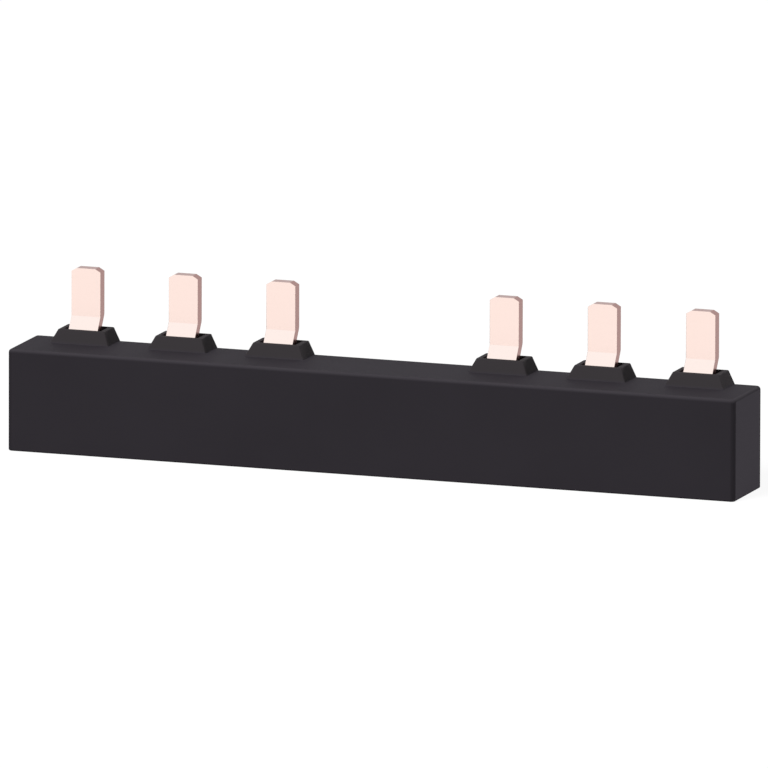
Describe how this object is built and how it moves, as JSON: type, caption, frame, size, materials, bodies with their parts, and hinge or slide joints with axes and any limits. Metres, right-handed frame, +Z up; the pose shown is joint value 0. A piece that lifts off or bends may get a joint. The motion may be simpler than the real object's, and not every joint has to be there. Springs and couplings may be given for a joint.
{
  "type": "comb busbar",
  "caption": "Moulded busbar with copper comb rails inside and cranked blades that stand up through tapered collars, in groups that each feed one motor starter.",
  "frame": {"origin": "middle of the underside", "axes": "+X along the bar towards the end that the picture shows, +Y from the front of the bar to its back, +Z up the blades"},
  "size_m": [0.13, 0.014, 0.03],
  "materials": {
    "housing": "matte black moulding",
    "cover": "matte black moulding",
    "copper": "clean rolled copper",
    "separator": "plain grey insulating strip"
  },
  "bodies": {
    "root": {"housing": "housing", "base_cover": "cover", "rail_l1": "copper", "rail_l2": "copper", "rail_l3": "copper", "phase_separator_front": "separator", "phase_separator_rear": "separator"}
  },
  "joints": []
}
